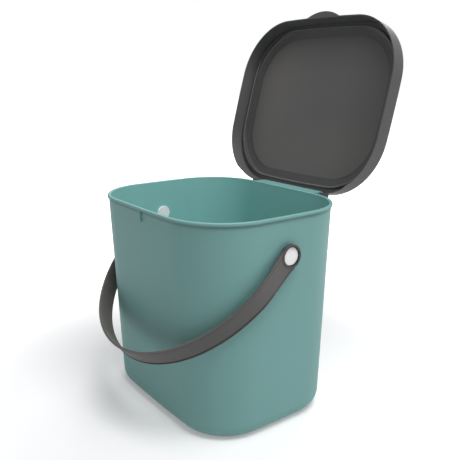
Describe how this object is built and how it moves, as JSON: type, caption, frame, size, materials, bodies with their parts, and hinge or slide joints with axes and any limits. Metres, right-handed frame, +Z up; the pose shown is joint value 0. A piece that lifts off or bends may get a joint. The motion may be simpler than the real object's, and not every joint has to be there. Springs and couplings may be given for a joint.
{
  "type": "kitchen compost bin",
  "caption": "Kitchen compost bin: tapered tub with rounded corners, hinged snap lid with a lifting tab and a strap handle on side pivots.",
  "frame": {"origin": "centre of the tub's flat underside, on the surface it stands on", "axes": "+Z up, -Y to the front with the rib and the hanging handle, +Y to the hinge, X along both joints' axes"},
  "size_m": [0.2274, 0.2684, 0.3847],
  "materials": {
    "tub": "fine satin",
    "lid": "satin",
    "handle": "satin",
    "pivots": "smooth"
  },
  "bodies": {
    "tub": {"tub": "tub", "pivot_button_right": "pivots", "pivot_cap_right": "pivots", "pivot_button_left": "pivots", "pivot_cap_left": "pivots"},
    "lid": {"lid": "lid"},
    "handle": {"handle": "handle"}
  },
  "joints": [
    {"name": "lid_hinge", "type": "hinge", "parent": "tub", "child": "lid", "pos_m": [0, 0.0944, 0.1987], "axis": [1, 0, 0], "range_deg": [0, 105.3]},
    {"name": "handle_swing", "type": "hinge", "parent": "tub", "child": "handle", "pos_m": [0, 0, 0.1694], "axis": [-1, 0, 0], "range_deg": [0, 165]}
  ]
}
